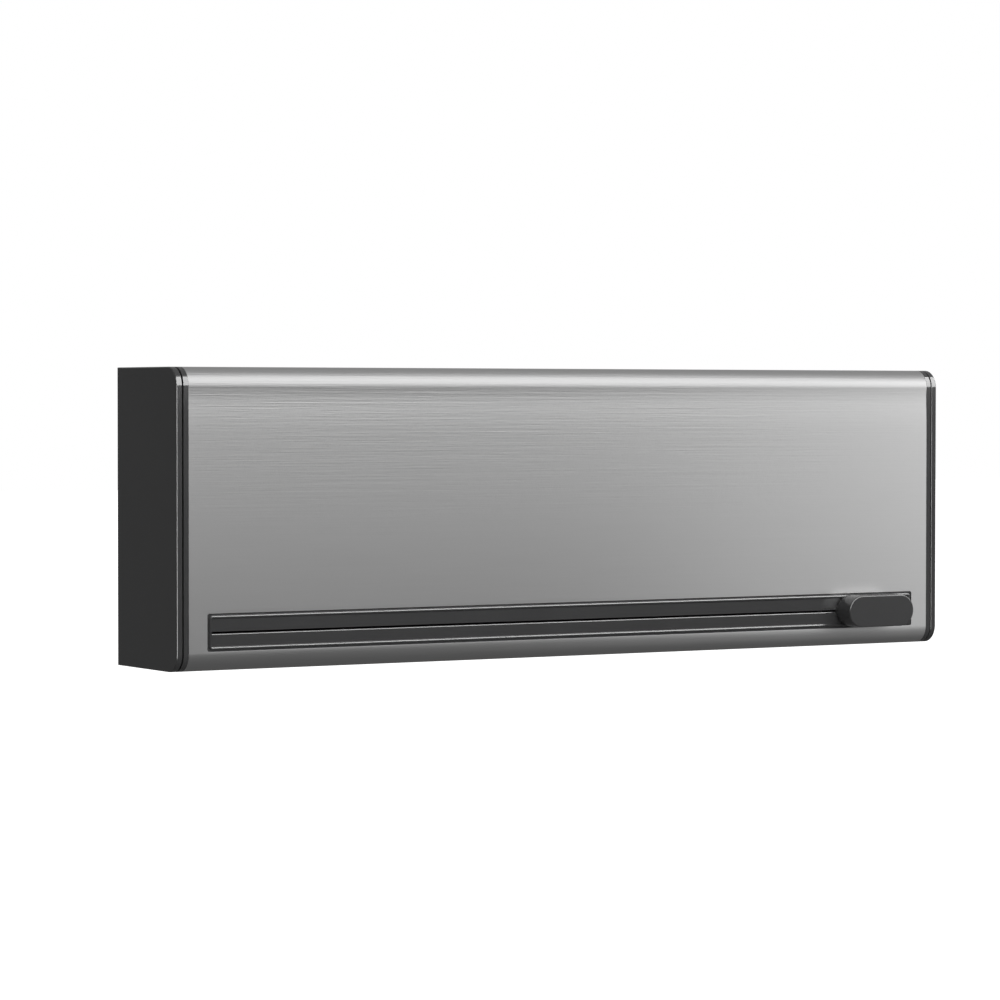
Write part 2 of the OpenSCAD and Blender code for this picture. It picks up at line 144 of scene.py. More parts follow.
def rounded_block(bm, outline, place, front, back, r_front, r_back, steps=5):
    """A block pulled from front to back whose outline(inset) gives each ring, with both rims rounded."""
    sign = 1 if back > front else -1
    loops = []
    for i in range(steps + 1):
        t = math.radians(90 * i / steps)
        loops.append((outline(r_front * (1 - math.sin(t))), front + sign * r_front * (1 - math.cos(t))))
    for i in range(steps + 1):
        t = math.radians(90 * i / steps)
        loops.append((outline(r_back * (1 - math.cos(t))), back - sign * r_back * (1 - math.sin(t))))
    sheet_of_loops(bm, loops, place)


def lathe(bm, profile, y, z, steps=64):
    """Turns a closed profile of (x, radius) points about an axis along X."""
    rings = []
    for i in range(steps):
        t = math.tau * i / steps
        c, s = math.cos(t), math.sin(t)
        rings.append([bm.verts.new(Vector((x, y + r * c, z + r * s)) * MM) for x, r in profile])
    for i in range(steps):
        low, high = rings[i], rings[(i + 1) % steps]
        for a in range(len(profile)):
            b = (a + 1) % len(profile)
            bm.faces.new((low[a], low[b], high[b], high[a]))


def round_edges(bm, radius, segments, wanted, angle=35):
    """Rounds the sharp edges whose middle point, in millimetres, passes the test."""
    limit = math.radians(angle)
    edges = [
        e for e in bm.edges
        if len(e.link_faces) == 2
        and e.calc_face_angle(0) > limit
        and wanted((e.verts[0].co + e.verts[1].co) / 2 / MM)
    ]
    bmesh.ops.bevel(
        bm, geom=edges, offset=radius * MM, offset_type="OFFSET", segments=segments,
        profile=0.5, affect="EDGES", clamp_overlap=True, loop_slide=True,
    )


def finish_piece(name, bm, finish, body, nodes, angle=35):
    """Turns the mesh into a shaded object that rides on a body and stands for its CAD nodes."""
    bmesh.ops.recalc_face_normals(bm, faces=bm.faces)
    mesh = bpy.data.meshes.new(name)
    bm.to_mesh(mesh)
    bm.free()
    mesh.shade_smooth()
    mesh.set_sharp_from_angle(angle=math.radians(angle))
    piece = bpy.data.objects.new(name, mesh)
    bpy.context.scene.collection.objects.link(piece)
    mesh.materials.append(finish)
    weighted = piece.modifiers.new("even_shading", "WEIGHTED_NORMAL")
    weighted.keep_sharp = True
    weighted.weight = 100
    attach(piece, body)
    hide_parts(*nodes)
    return piece


def stadium(half_x, half_z, z0, x0, steps=20):
    """Outline function of a long shape with round ends."""

    def outline(inset):
        r = half_z - inset
        reach = half_x - half_z
        right = arc(x0 + reach, z0, r, -90, 90, steps)
        left = arc(x0 - reach, z0, r, 90, 270, steps)
        return right + left

    return outline


def rounded_rectangle(half_x, half_z, z0, corner, steps=6):
    """Points of a rectangle with round corners, from the middle of its right side."""
    points = [(half_x, z0)]
    points += arc(half_x - corner, z0 + half_z - corner, corner, 0, 90, steps)
    points += arc(-half_x + corner, z0 + half_z - corner, corner, 90, 180, steps)
    points += [(-half_x, z0)]
    points += arc(-half_x + corner, z0 - half_z + corner, corner, 180, 270, steps)
    points += arc(half_x - corner, z0 - half_z + corner, corner, 270, 360, steps)
    return points


# ---------------------------------------------------------------- materials


class Finish:
    """A material with one Principled shader, and short ways to add its detail."""

    def __init__(self, name, color, roughness, metallic=0.0, ior=1.5):
        self.material = bpy.data.materials.new(name)
        self.material.use_nodes = True
        self.tree = self.material.node_tree
        self.shader = self.tree.nodes["Principled BSDF"]
        self.color = color
        self.set("Base Color", (*color, 1))
        self.set("Roughness", roughness)
        self.set("Metallic", metallic)
        self.set("IOR", ior)
        self.place = self.node("ShaderNodeTexCoord").outputs["Object"]

    def node(self, kind, **settings):
        made = self.tree.nodes.new(kind)
        for key, value in settings.items():
            setattr(made, key, value)
        return made

    def set(self, socket, value):
        self.shader.inputs[socket].default_value = value

    def link(self, output, target):
        self.tree.links.new(output, target)

    def stretched(self, scale, source=None):
        """The object's own coordinates, scaled on each axis."""
        mapping = self.node("ShaderNodeMapping")
        mapping.inputs["Scale"].default_value = scale
        self.link(source or self.place, mapping.inputs["Vector"])
        return mapping.outputs["Vector"]

    def noise(self, scale, detail=2.0, vector=None, rough=0.5):
        made = self.node("ShaderNodeTexNoise")
        made.inputs["Scale"].default_value = scale
        made.inputs["Detail"].default_value = detail
        made.inputs["Roughness"].default_value = rough
        self.link(vector or self.place, made.inputs["Vector"])
        return made.outputs["Fac"]

    def spread(self, source, low, high, start=0.3, end=0.7):
        """Maps a noise value to a range."""
        made = self.node("ShaderNodeMapRange")
        made.inputs["From Min"].default_value = start
        made.inputs["From Max"].default_value = end
        made.inputs["To Min"].default_value = low
        made.inputs["To Max"].default_value = high
        self.link(source, made.inputs["Value"])
        return made.outputs["Result"]

    def math(self, operation, first, second):
        made = self.node("ShaderNodeMath", operation=operation)
        self.link(first, made.inputs[0])
        self.link(second, made.inputs[1])
        return made.outputs[0]

    def tint(self, source, low, high):
        """Drives the base colour between two brightnesses of the finish's own colour."""
        ramp = self.node("ShaderNodeMix", data_type="RGBA")
        ramp.inputs[6].default_value = (*[c * low for c in self.color], 1)
        ramp.inputs[7].default_value = (*[min(1, c * high) for c in self.color], 1)
        self.link(source, ramp.inputs[0])
        self.link(ramp.outputs[2], self.shader.inputs["Base Color"])

    def bump(self, source, distance):
        made = self.node("ShaderNodeBump")
        made.inputs["Distance"].default_value = distance
        made.inputs["Strength"].default_value = 1.0
        self.link(source, made.inputs["Height"])
        self.link(made.outputs["Normal"], self.shader.inputs["Normal"])


def plastic(name, color, roughness, grain_mm, grain_depth_mm, variation=0.05):
    """Moulded plastic: a fine spark-eroded grain, slight flow variation and uneven gloss."""
    f = Finish(name, color, roughness, ior=1.52)
    flow = f.noise(14, 3)
    f.tint(f.spread(flow, 0, 1), 1 - variation, 1 + variation)
    patches = f.noise(60, 4, rough=0.6)
    f.link(f.spread(patches, roughness * 0.88, roughness * 1.14), f.shader.inputs["Roughness"])
    if grain_depth_mm:
        grain = f.noise(1000 / grain_mm, 2)
        f.bump(grain, grain_depth_mm * MM)
    return f.material


# The hairlines grow fainter down the sheet and to the right: where that starts and ends, in millimetres.
FADE_DOWN = (50, 110)
FADE_RIGHT = (60, 190)


def brushed_skin():
    """Stainless sheet with long hairlines along X, rough across the lines and smoother along them."""
    f = Finish("brushed_skin", (0.60, 0.60, 0.60), 0.376, metallic=1.0)
    lines = f.node("ShaderNodeUVMap", uv_map="sheet").outputs["UV"]
    tangent = f.node("ShaderNodeTangent", direction_type="UV_MAP", uv_map="sheet")
    f.link(tangent.outputs["Tangent"], f.shader.inputs["Tangent"])
    f.set("Anisotropic", 0.556)
    short = f.noise(1, 2, f.stretched((2300, 70, 1), lines), 0.6)
    medium = f.noise(1, 2, f.stretched((1500, 22, 1), lines), 0.55)
    long = f.noise(1, 1, f.stretched((1100, 6, 1), lines), 0.5)
    first = f.math("ADD", short, medium)
    total = f.spread(f.math("ADD", first, long), 0, 1, 0.9, 2.1)
    f.tint(total, 0.985, 1.015)
    split = f.node("ShaderNodeSeparateXYZ")
    f.link(lines, split.inputs[0])
    worn_down = f.spread(split.outputs["X"], 1, 0.15, FADE_DOWN[0] * MM, FADE_DOWN[1] * MM)
    worn_right = f.spread(split.outputs["Y"], 1, 0.35, FADE_RIGHT[0] * MM, FADE_RIGHT[1] * MM)
    depth = f.math("MULTIPLY", total, f.math("MULTIPLY", worn_down, worn_right))
    f.bump(depth, 0.05 * MM)
    f.link(f.spread(medium, 0.370, 0.382), f.shader.inputs["Roughness"])
    return f.material


def metal(name, color, roughness, grain=(900, 900, 900), depth_mm=0.002):
    """Bare metal part with fine drawing or rolling marks and handling patches."""
    f = Finish(name, color, roughness, metallic=1.0)
    marks = f.noise(1, 3, f.stretched(grain), 0.6)
    f.tint(f.spread(marks, 0, 1), 0.93, 1.05)
    patches = f.noise(90, 3)
    f.link(f.spread(patches, roughness * 0.8, roughness * 1.25), f.shader.inputs["Roughness"])
    f.bump(marks, depth_mm * MM)
    return f.material


def rubber():
    """Soft black stop with a dusty bloom."""
    f = Finish("stop_rubber", (0.02, 0.02, 0.02), 0.75)
    dust = f.noise(500, 4, rough=0.7)
    f.tint(f.spread(dust, 0, 1), 0.8, 1.6)
    f.bump(dust, 0.03 * MM)
    return f.material


def card():
    """Wound card core: short fibres and a faint spiral seam."""
    f = Finish("wound_card", (0.45, 0.34, 0.22), 0.85)
    fibres = f.noise(1, 4, f.stretched((260, 1500, 1500)), 0.65)
    f.tint(f.spread(fibres, 0, 1), 0.82, 1.12)
    f.bump(fibres, 0.03 * MM)
    return f.material


def wound_film():
    """Clear film wound into a milky roll: glossy, with fine winding bands."""
    f = Finish("wound_film", (0.70, 0.78, 0.82), 0.14, ior=1.5)
    bands = f.noise(1, 3, f.stretched((160, 0.5, 0.5)), 0.6)
    rings = f.noise(900, 2)
    f.tint(f.spread(bands, 0, 1), 0.93, 1.04)
    f.link(f.spread(rings, 0.1, 0.2), f.shader.inputs["Roughness"])
    f.set("Subsurface Weight", 0.25)
    f.set("Subsurface Radius", (0.006, 0.007, 0.008))
    f.bump(bands, 0.05 * MM)
    return f.material


def make_finishes():
    """All materials of the object, by the record's slot name."""
    return {
        "housing_plastic": plastic("moulded_housing", (0.038, 0.038, 0.040), 0.42, 0.5, 0.006),
        "panel_plastic": plastic("moulded_panel", (0.064, 0.064, 0.065), 0.11, 0.8, 0.0004),
        "trim_plastic": plastic("moulded_trim", (0.064, 0.064, 0.065), 0.10, 0.8, 0.0004),
        "bezel_plastic": plastic("moulded_bezel", (0.062, 0.062, 0.063), 0.14, 0.8, 0.0005),
        "knob_plastic": plastic("moulded_knob", (0.066, 0.066, 0.067), 0.14, 0.8, 0.0005),
        "pale_plastic": plastic("natural_acetal", (0.70, 0.70, 0.67), 0.38, 0.8, 0.003, 0.03),
        "skin_steel": brushed_skin(),
        "rod_steel": metal("drawn_rod", (0.62, 0.62, 0.61), 0.25, (60, 2600, 2600)),
        "pin_steel": metal("ground_pin", (0.60, 0.60, 0.60), 0.2, (2500, 300, 300)),
        "spring_steel": metal("spring_wire", (0.50, 0.50, 0.50), 0.28, (2200, 2200, 2200)),
        "blade_steel": metal("ground_blade", (0.68, 0.68, 0.69), 0.18, (80, 3000, 400)),
        "zinc_screws": metal("zinc_plate", (0.66, 0.66, 0.66), 0.3, (1500, 1500, 1500), 0.004),
        "magnet_metal": metal("nickel_plate", (0.70, 0.70, 0.70), 0.14, (800, 800, 800)),
        "rail_aluminium": metal("anodised_rail", (0.66, 0.67, 0.68), 0.34, (40, 2600, 2600)),
        "buffer_rubber": rubber(),
        "core_card": card(),
        "film_plastic": wound_film(),
    }


FINISHES = make_finishes()


# Edge width in millimetres of the mouldings that stay as CAD nodes, and of every other one.
EDGE_WIDTH = {"rear_housing": 0.35, "lid_liner": 0.3, "cutter_carriage": 0.3, "spigot_guide": 0.25}
OTHER_EDGE = 0.12
EDGE_ANGLE = 32


def paint_cad_nodes():
    """CAD nodes that stay keep their shape, get softened edges and take the finish of their slot."""
    for name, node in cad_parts.items():
        slot = node.material_slots[0].material.name.split(".")[0]
        if slot in FINISHES:
            node.material_slots[0].material = FINISHES[slot]
        if "custom_normal" in node.data.attributes:
            node.data.attributes.remove(node.data.attributes["custom_normal"])
        node.data.shade_smooth()
        weld = node.modifiers.new("weld", "WELD")
        weld.merge_threshold = 0.01 * MM
        bevel = node.modifiers.new("soft_edges", "BEVEL")
        bevel.limit_method = "ANGLE"
        bevel.angle_limit = math.radians(EDGE_ANGLE)
        bevel.width = EDGE_WIDTH.get(name, OTHER_EDGE) * MM
        bevel.segments = 2
        bevel.harden_normals = True


# ---------------------------------------------------------------- pieces


def panel_outline(inset):
    """Side outline of an end panel: square against the wall, round at the two front corners."""
    r = CORNER_R - inset
    back = PANEL_HIGH.y - inset
    points = [(back, TOP_Z - inset)]
    points += arc(CORNER_Y, CORNER_TOP, r, 90, 180, ARC_STEPS)
    points += arc(CORNER_Y, CORNER_LOW, r, 180, 270, ARC_STEPS)
    points += [(back, LOW_Z + inset)]
    return points


PANEL_RIM = 0.45
PANEL_INNER_RIM = 0.3
HINGE_BOSS_R = 4
HINGE_BORE_R = 2.05
ROD_SOCKET_R = 5
ROD_BORE_R = 3.05
LUG_LEVELS = (-40, 0, 36)
LUG_HALF_H = 4
LUG_FRONT = -10.5
LUG_BACK = -2.5
LUG_DEPTH = 10
PILLAR_RING = 13.2
PILLAR_R = 3.5
PILLAR_ANGLES = (90, 210, 330)
SCREW_BORE_R = 1.5
POST_R = 5
POST_LEN = 17
AXIS_R = 0.01


def panel_bosses(bm, side):
    """Hinge boss and rod socket on the inside of an end panel."""
    inside = side * PANEL_IN
    hinge = [(inside + side * 0.4, AXIS_R), (inside + side * 0.4, HINGE_BOSS_R),
             (inside - side * 2.2, HINGE_BOSS_R), (inside - side * 2.5, HINGE_BOSS_R - 0.3),
             (inside - side * 2.5, HINGE_BORE_R), (inside + side * 0.3, HINGE_BORE_R)]
    lathe(bm, hinge, CORNER_Y, CORNER_LOW)
    socket = [(inside + side * 0.4, AXIS_R), (inside + side * 0.4, ROD_SOCKET_R),
              (inside - side * 5.6, ROD_SOCKET_R), (inside - side * 6, ROD_SOCKET_R - 0.4),
              (inside - side * 6, ROD_BORE_R), (inside, ROD_BORE_R)]
    lathe(bm, socket, ROD_Y, ROD_Z)


def screw_lug(bm, side, z, edge=0.3):
    """Block that a housing screw goes into, with its free end chamfered."""
    inside = side * PANEL_IN
    high, low = z + LUG_HALF_H, z - LUG_HALF_H
    mid = LUG_FRONT + 0.5
    block = [(LUG_BACK, low), (LUG_BACK, high), (mid, high),
             (LUG_FRONT, high - 0.5), (LUG_FRONT, low + 0.5), (mid, low)]
    end = [(LUG_BACK - edge, low + edge), (LUG_BACK - edge, high - edge), (mid, high - edge),
           (LUG_FRONT + edge, high - 2 * edge), (LUG_FRONT + edge, low + 2 * edge), (mid, low + edge)]
    rings = [(block, inside + side * edge), (block, inside - side * (LUG_DEPTH - edge)),
             (end, inside - side * LUG_DEPTH)]
    sheet_of_loops(bm, rings, along_x)


def spigot_pillars(bm):
    """Three screw pillars on the right panel, round the axis of the sprung spigot."""
    for angle in PILLAR_ANGLES:
        t = math.radians(angle)
        pillar = [(PANEL_IN + 0.4, AXIS_R), (PANEL_IN + 0.4, PILLAR_R), (PANEL_IN - 5.7, PILLAR_R),
                  (PANEL_IN - 6, PILLAR_R - 0.3), (PANEL_IN - 6, SCREW_BORE_R),
                  (PANEL_IN - 0.4, SCREW_BORE_R)]
        lathe(bm, pillar, ROLL_Y + PILLAR_RING * math.cos(t), ROLL_Z + PILLAR_RING * math.sin(t), 32)


def spigot_post(bm):
    """Post on the left panel that the fixed spigot is screwed to."""
    inside = -PANEL_IN
    end = inside + POST_LEN
    post = [(inside - 0.4, AXIS_R), (inside - 0.4, POST_R), (end - 0.4, POST_R),
            (end, POST_R - 0.4), (end, SCREW_BORE_R), (inside + 4, SCREW_BORE_R)]
    lathe(bm, post, ROLL_Y, ROLL_Z)


def end_panel(name, node, side):
    """Cover plate with softened rims, and the bosses and screw lugs moulded on its inside."""
    bm = bmesh.new()
    rounded_block(bm, panel_outline, along_x, side * PANEL_X, side * PANEL_IN, PANEL_RIM, PANEL_INNER_RIM)
    panel_bosses(bm, side)
    for z in LUG_LEVELS:
        screw_lug(bm, side, z)
    if side > 0:
        spigot_pillars(bm)
    else:
        spigot_post(bm)
    return finish_piece(name, bm, FINISHES["panel_plastic"], "housing", [node])


def lid_section(inset):
    """Outer path of the lid's side view, from its rear top edge to the hinge line."""
    r = CORNER_R - inset
    points = [(LID_BACK_Y, TOP_Z - inset)]
    points += arc(CORNER_Y, CORNER_TOP, r, 90, 180, ARC_STEPS)
    points += arc(CORNER_Y, CORNER_LOW, r, 180, 270, ARC_STEPS)
    return points


def barrel_turn(radius, reverse=False):
    """Arc of the rolled part behind the hinge line, from the bottom up."""
    top = math.degrees(math.asin(BARREL_TOP / radius))
    points = arc(CORNER_Y, CORNER_LOW, radius, -90, top, 18)
    return points[::-1] if reverse else points


TONGUE_OUT = LINER_BACK + 0.05
TONGUE_T = 1.5
TONGUE_LOW = -25
TONGUE_BACK = LID_BACK_Y - 2.1
TONGUE_REACH = 8


def tongue_section():
    """Side view of the tongue that lies behind the liner, down to the middle of the front."""
    outer, inner = TONGUE_OUT, TONGUE_OUT + TONGUE_T
    points = [(TONGUE_BACK, TOP_Z - outer)]
    points += arc(CORNER_Y, CORNER_TOP, CORNER_R - outer, 90, 180, 16)
    points += [(FRONT_Y + outer, TONGUE_LOW), (FRONT_Y + inner, TONGUE_LOW)]
    points += arc(CORNER_Y, CORNER_TOP, CORNER_R - inner, 180, 90, 16)
    points += [(TONGUE_BACK, TOP_Z - inner)]
    return points


def end_trim(name, node, side):
    """Rim at one end of the lid, with the tongue that is screwed behind the liner."""
    bm = bmesh.new()
    section = lid_section(0)
    section += barrel_turn(BARREL_OUT)
    section += barrel_turn(BARREL_IN, reverse=True)
    section += lid_section(TONGUE_OUT)[::-1]
    a, b = sorted((side * SKIN_X, side * TRIM_X))
    sheet_of_loops(bm, [(section, a), (section, b)], along_x)
    round_edges(bm, 0.4, 4, lambda p: True)
    part = bmesh.new()
    tongue = tongue_section()
    a, b = sorted((side * (SKIN_X - TONGUE_REACH), side * (TRIM_X - 0.3)))
    sheet_of_loops(part, [(tongue, a), (tongue, b)], along_x)
    round_edges(part, 0.2, 2, lambda p: abs(p.x) < SKIN_X - TONGUE_REACH + 1)
    spare = bpy.data.meshes.new("spare")
    part.to_mesh(spare)
    part.free()
    bm.from_mesh(spare)
    bpy.data.meshes.remove(spare)
    return finish_piece(name, bm, FINISHES["trim_plastic"], "lid", [node])


def unrolled(p):
    """Length along the sheet from its rear edge to a point, in metres."""
    y, z = p.y / MM, p.z / MM
    top = CORNER_Y - LID_BACK_Y
    turn = CORNER_R * math.pi / 2
    front = CORNER_TOP - CORNER_LOW
    if z > CORNER_TOP:
        if y > CORNER_Y:
            return (LID_BACK_Y - y) * MM
        return (-top + CORNER_R * math.atan2(CORNER_Y - y, z - CORNER_TOP)) * MM
    if z < CORNER_LOW:
        return (-top + turn + front + CORNER_R * math.atan2(CORNER_LOW - z, CORNER_Y - y)) * MM
    return (-top + turn + CORNER_TOP - z) * MM


# Height in millimetres and tilt in degrees of the sheet, where it swings back after the upper bend.
RIPPLE = (
    (53.5, -1.6), (52.4, -3.2), (50.5, -2.0), (48.6, 0.0), (46.5, 1.2),
    (44.5, 1.5), (41.0, 1.1), (36.0, 0.3), (33.0, 0.0),
)


def tilt_at(z):
    """Tilt of the sheet at a height, in degrees."""
    for (high, a), (low, b) in zip(RIPPLE, RIPPLE[1:]):
        if low <= z <= high:
            return b + (a - b) * (z - low) / (high - low)
    return 0.0


def ripple_rows(step=0.7):
    """Rows of the front face from the upper bend down, slightly hollow as the tilts add up."""
    rows = []
    z, hollow = RIPPLE[-1][0], 0.0
    while z < RIPPLE[0][0] - step * 0.6:
        rows.append((FRONT_Y + hollow, z))
        hollow = max(0.0, hollow + step * math.tan(math.radians(tilt_at(z + step / 2))))
        z += step
    return rows[::-1]


def window_side(side, steps=6):
    """Half of the window's outline, from the middle of its top round one end to the middle of its foot."""
    half_h = WINDOW_H / 2
    r = BEZEL_CORNER
    inner = side * WINDOW_HALF - side * r
    turns = [math.radians(90 * i / steps) for i in range(steps + 1)]
    points = [(0, SLOT_Z + half_h)]
    points += [(inner + side * r * math.sin(t), SLOT_Z + half_h - r + r * math.cos(t)) for t in turns]
    points += [(inner + side * r * math.cos(t), SLOT_Z - half_h + r - r * math.sin(t)) for t in turns]
    points.append((0, SLOT_Z - half_h))
    return points


def bent_strips(bm, path):
    """Rows of faces along a side-view path, split at the middle of the sheet; returns the rows of points."""
    stations = (-SKIN_X, 0, SKIN_X)
    rows = [[bm.verts.new(along_x(y, z, x)) for x in stations] for y, z in path]
    for a, b in zip(rows, rows[1:]):
        for i in (0, 1):
            bm.faces.new((a[i], b[i], b[i + 1], a[i + 1]))
    return rows


def steel_skin():
    """Bent stainless sheet with the window for the slot bezel."""
    bm = bmesh.new()
    above = SLOT_Z + WINDOW_H / 2 + 2
    bend = arc(CORNER_Y, CORNER_TOP, CORNER_R, 90, 180, ARC_STEPS)
    upper = [(LID_BACK_Y, TOP_Z)] + bend + ripple_rows() + [(FRONT_Y, above)]
    lower = arc(CORNER_Y, CORNER_LOW, CORNER_R, 180, 270, ARC_STEPS)
    edge_above = bent_strips(bm, upper)[-1]
    edge_below = bent_strips(bm, lower)[0]
    for side, outer in ((-1, 0), (1, 2)):
        verts = [bm.verts.new(along_x(FRONT_Y, z, x)) for x, z in window_side(side)]
        bm.faces.new([edge_above[1]] + verts + [edge_below[1], edge_below[outer], edge_above[outer]])
    bmesh.ops.remove_doubles(bm, verts=bm.verts, dist=1e-7)
    bmesh.ops.recalc_face_normals(bm, faces=bm.faces)
    front = max(bm.faces, key=lambda f: f.calc_area())
    if front.normal.y > 0:
        bmesh.ops.reverse_faces(bm, faces=bm.faces)
    bmesh.ops.solidify(bm, geom=list(bm.faces), thickness=SKIN_T * MM)
    round_edges(bm, 0.12, 2, lambda p: True, 50)
    layer = bm.loops.layers.uv.new("sheet")
    for face in bm.faces:
        for loop in face.loops:
            loop[layer].uv = (unrolled(loop.vert.co), loop.vert.co.x)
    return finish_piece("skin_sheet", bm, FINISHES["skin_steel"], "lid", ["steel_skin"])


def lip_rings(cut, y_front, lip, steps=6):
    """Rings that round the slot's lower lip, fading out towards the two ends of the slot."""
    rings = []
    for k in range(steps + 1):
        t = math.radians(90 * k / steps)
        ring = []
        for x, z in cut:
            centre = math.copysign(SLOT_HALF - SLOT_H / 2, x)
            out_x = (x - centre) / (SLOT_H / 2)
            out_z = (z - SLOT_Z) / (SLOT_H / 2)
            r = lip * abs(out_z)
            reach = r * (1 - math.sin(t))
            ring.append((x + out_x * reach, z + out_z * reach, y_front + r * (1 - math.cos(t))))
        rings.append(ring)
    return rings


def slotted_plate(bm, half_x, half_z, z0, corner, y_front, y_back, lip):
    """Plate with round corners and the long film slot through it; the slot's lower lip is rounded."""
    outline = rounded_rectangle(half_x, half_z, z0, corner)
    left_at = next(i for i, p in enumerate(outline) if p[0] == -half_x and p[1] == z0)
    top_out = outline[: left_at + 1]
    low_out = outline[left_at:] + [outline[0]]
    reach = SLOT_HALF - SLOT_H / 2
    right = arc(reach, SLOT_Z, SLOT_H / 2, 0, 90, 6)
    left = arc(-reach, SLOT_Z, SLOT_H / 2, 90, 180, 6)
    top_in = right + left
    low_in = [(x, 2 * SLOT_Z - z) for x, z in top_in][::-1]
    cache = {}

    def vert(x, z, y):
        key = (round(x, 5), round(z, 5), round(y, 5))
        if key not in cache:
            cache[key] = bm.verts.new(along_y(x, z, y))
        return cache[key]

    def band(first, second):
        """Faces between two rows of (x, z, y) points."""
        for a, b, c, d in zip(first, first[1:], second[1:], second):
            corners = list(dict.fromkeys(vert(*p) for p in (a, b, c, d)))
            if len(corners) > 2:
                bm.faces.new(corners)

    lips = lip_rings(low_in, y_front, lip)
    low_front = [(x, z) for x, z, y in lips[0]]
    bm.faces.new([vert(x, z, y_front) for x, z in top_out + top_in[::-1]])
    bm.faces.new([vert(x, z, y_front) for x, z in low_out + low_front[::-1]])
    bm.faces.new([vert(x, z, y_back) for x, z in top_out + top_in[::-1]])
    bm.faces.new([vert(x, z, y_back) for x, z in low_out + low_in[::-1]])
    for path in (top_out, low_out, top_in):
        band([(x, z, y_front) for x, z in path], [(x, z, y_back) for x, z in path])
    for first, second in zip(lips, lips[1:]):
        band(first, second)
    band(lips[-1], [(x, z, y_back) for x, z in low_in])


def bead_ring(bm, half_x, half_z, z0, y, r, corner, steps=16):
    """Round bead swept round a rectangle with small turned corners."""
    path = rounded_rectangle(half_x, half_z, z0, corner, 6)
    path = [p for i, p in enumerate(path) if i == 0 or math.dist(p, path[i - 1]) > 1e-6]
    if math.dist(path[0], path[-1]) < 1e-6:
        path.pop()
    count = len(path)
    rings = []
    for i, (x, z) in enumerate(path):
        before = path[i - 1]
        after = path[(i + 1) % count]
        run = Vector((after[0] - before[0], after[1] - before[1])).normalized()
        out = Vector((run.y, -run.x))
        ring = []
        for k in range(steps):
            t = math.tau * k / steps
            reach = r * math.cos(t)
            ring.append(bm.verts.new(along_y(x + out.x * reach, z + out.y * reach, y + r * math.sin(t))))
        rings.append(ring)
    for i in range(count):
        a, b = rings[i], rings[(i + 1) % count]
        for k in range(steps):
            m = (k + 1) % steps
            bm.faces.new((a[k], a[m], b[m], b[k]))


FACE_T = 0.7
LIP_R = 0.5
FLANGE_CORNER = 0.5
BEAD_CORNER = 0.75


def slot_bezel():
    """Bezel in the window: face with the film slot, round bead near its rim, flange behind the sheet."""
    bm = bmesh.new()
    slotted_plate(bm, WINDOW_HALF - BEZEL_FIT, WINDOW_H / 2 - BEZEL_FIT, SLOT_Z, BEZEL_CORNER,
                  BEZEL_FRONT, BEZEL_FRONT + FACE_T, LIP_R)
    flange_z = (BEZEL_LOW.z + BEZEL_HIGH.z) / 2
    flange_half = (BEZEL_HIGH.z - BEZEL_LOW.z) / 2
    slotted_plate(bm, BEZEL_HIGH.x, flange_half, flange_z, FLANGE_CORNER,
                  FRONT_Y + SKIN_T + 0.1, BEZEL_HIGH.y, 0)
    bead_ring(bm, WINDOW_HALF - BEAD_IN, WINDOW_H / 2 - BEAD_IN, SLOT_Z,
              BEZEL_FRONT + 0.05, BEAD_R, BEAD_CORNER)
    return finish_piece("slot_frame", bm, FINISHES["bezel_plastic"], "lid", ["slot_bezel"])


KNOB_FACE_R = 0.6
KNOB_BACK_R = 0.15


def cutter_knob():
    """Knob with round ends and a small radius round its face."""
    bm = bmesh.new()
    half_x = (KNOB_HIGH.x - KNOB_LOW.x) / 2
    half_z = (KNOB_HIGH.z - KNOB_LOW.z) / 2
    x0 = (KNOB_HIGH.x + KNOB_LOW.x) / 2
    outline = stadium(half_x, half_z, SLOT_Z, x0, 28)
    rounded_block(bm, outline, along_y, KNOB_LOW.y, KNOB_HIGH.y, KNOB_FACE_R, KNOB_BACK_R, 8)
    return finish_piece("knob_cap", bm, FINISHES["knob_plastic"], "cutter", ["cutter_knob"])


def knob_shoe():
    """Thin glide behind the knob, with a foot that runs between the beads of the bezel."""
    bm = bmesh.new()
    half_x = (SHOE_HIGH.x - SHOE_LOW.x) / 2
    half_z = (SHOE_HIGH.z - SHOE_LOW.z) / 2
    x0 = (SHOE_HIGH.x + SHOE_LOW.x) / 2
    step_y = SHOE_LOW.y + SHOE_T
    plate = stadium(half_x, half_z, SLOT_Z, x0, 24)
    foot = stadium(half_x, FOOT_H / 2, SLOT_Z, x0, 24)
    rounded_block(bm, plate, along_y, SHOE_LOW.y, step_y, 0.05, 0.2, 3)
    rounded_block(bm, foot, along_y, step_y - 0.2, SHOE_HIGH.y, 0.05, 0.1, 3)
    return finish_piece("knob_glide", bm, FINISHES["knob_plastic"], "cutter", ["knob_shoe"])


def film_roll():
    """Wound film with slightly uneven ends."""
    bm = bmesh.new()
    outer = (ROLL_HIGH.z - ROLL_LOW.z) / 2 - 0.02
    inner = (CORE_HIGH.z - CORE_LOW.z) / 2 + 0.02
    edge = 0.3
    steps = 24
    levels = [inner + (outer - edge - inner) * i / steps for i in range(steps + 1)]
    left = [(ROLL_LOW.x + 0.05 + 0.1 * math.sin(i * 2.4) ** 2, r) for i, r in enumerate(levels)]
    right = [(ROLL_HIGH.x - 0.05 - 0.1 * math.sin(i * 1.7) ** 2, r) for i, r in enumerate(levels)]
    rim = [(ROLL_LOW.x + edge, outer), (ROLL_HIGH.x - edge, outer)]
    lathe(bm, left + rim + right[::-1], ROLL_Y, ROLL_Z, 96)
    return finish_piece("wound_roll", bm, FINISHES["film_plastic"], "roll", ["film_roll"])


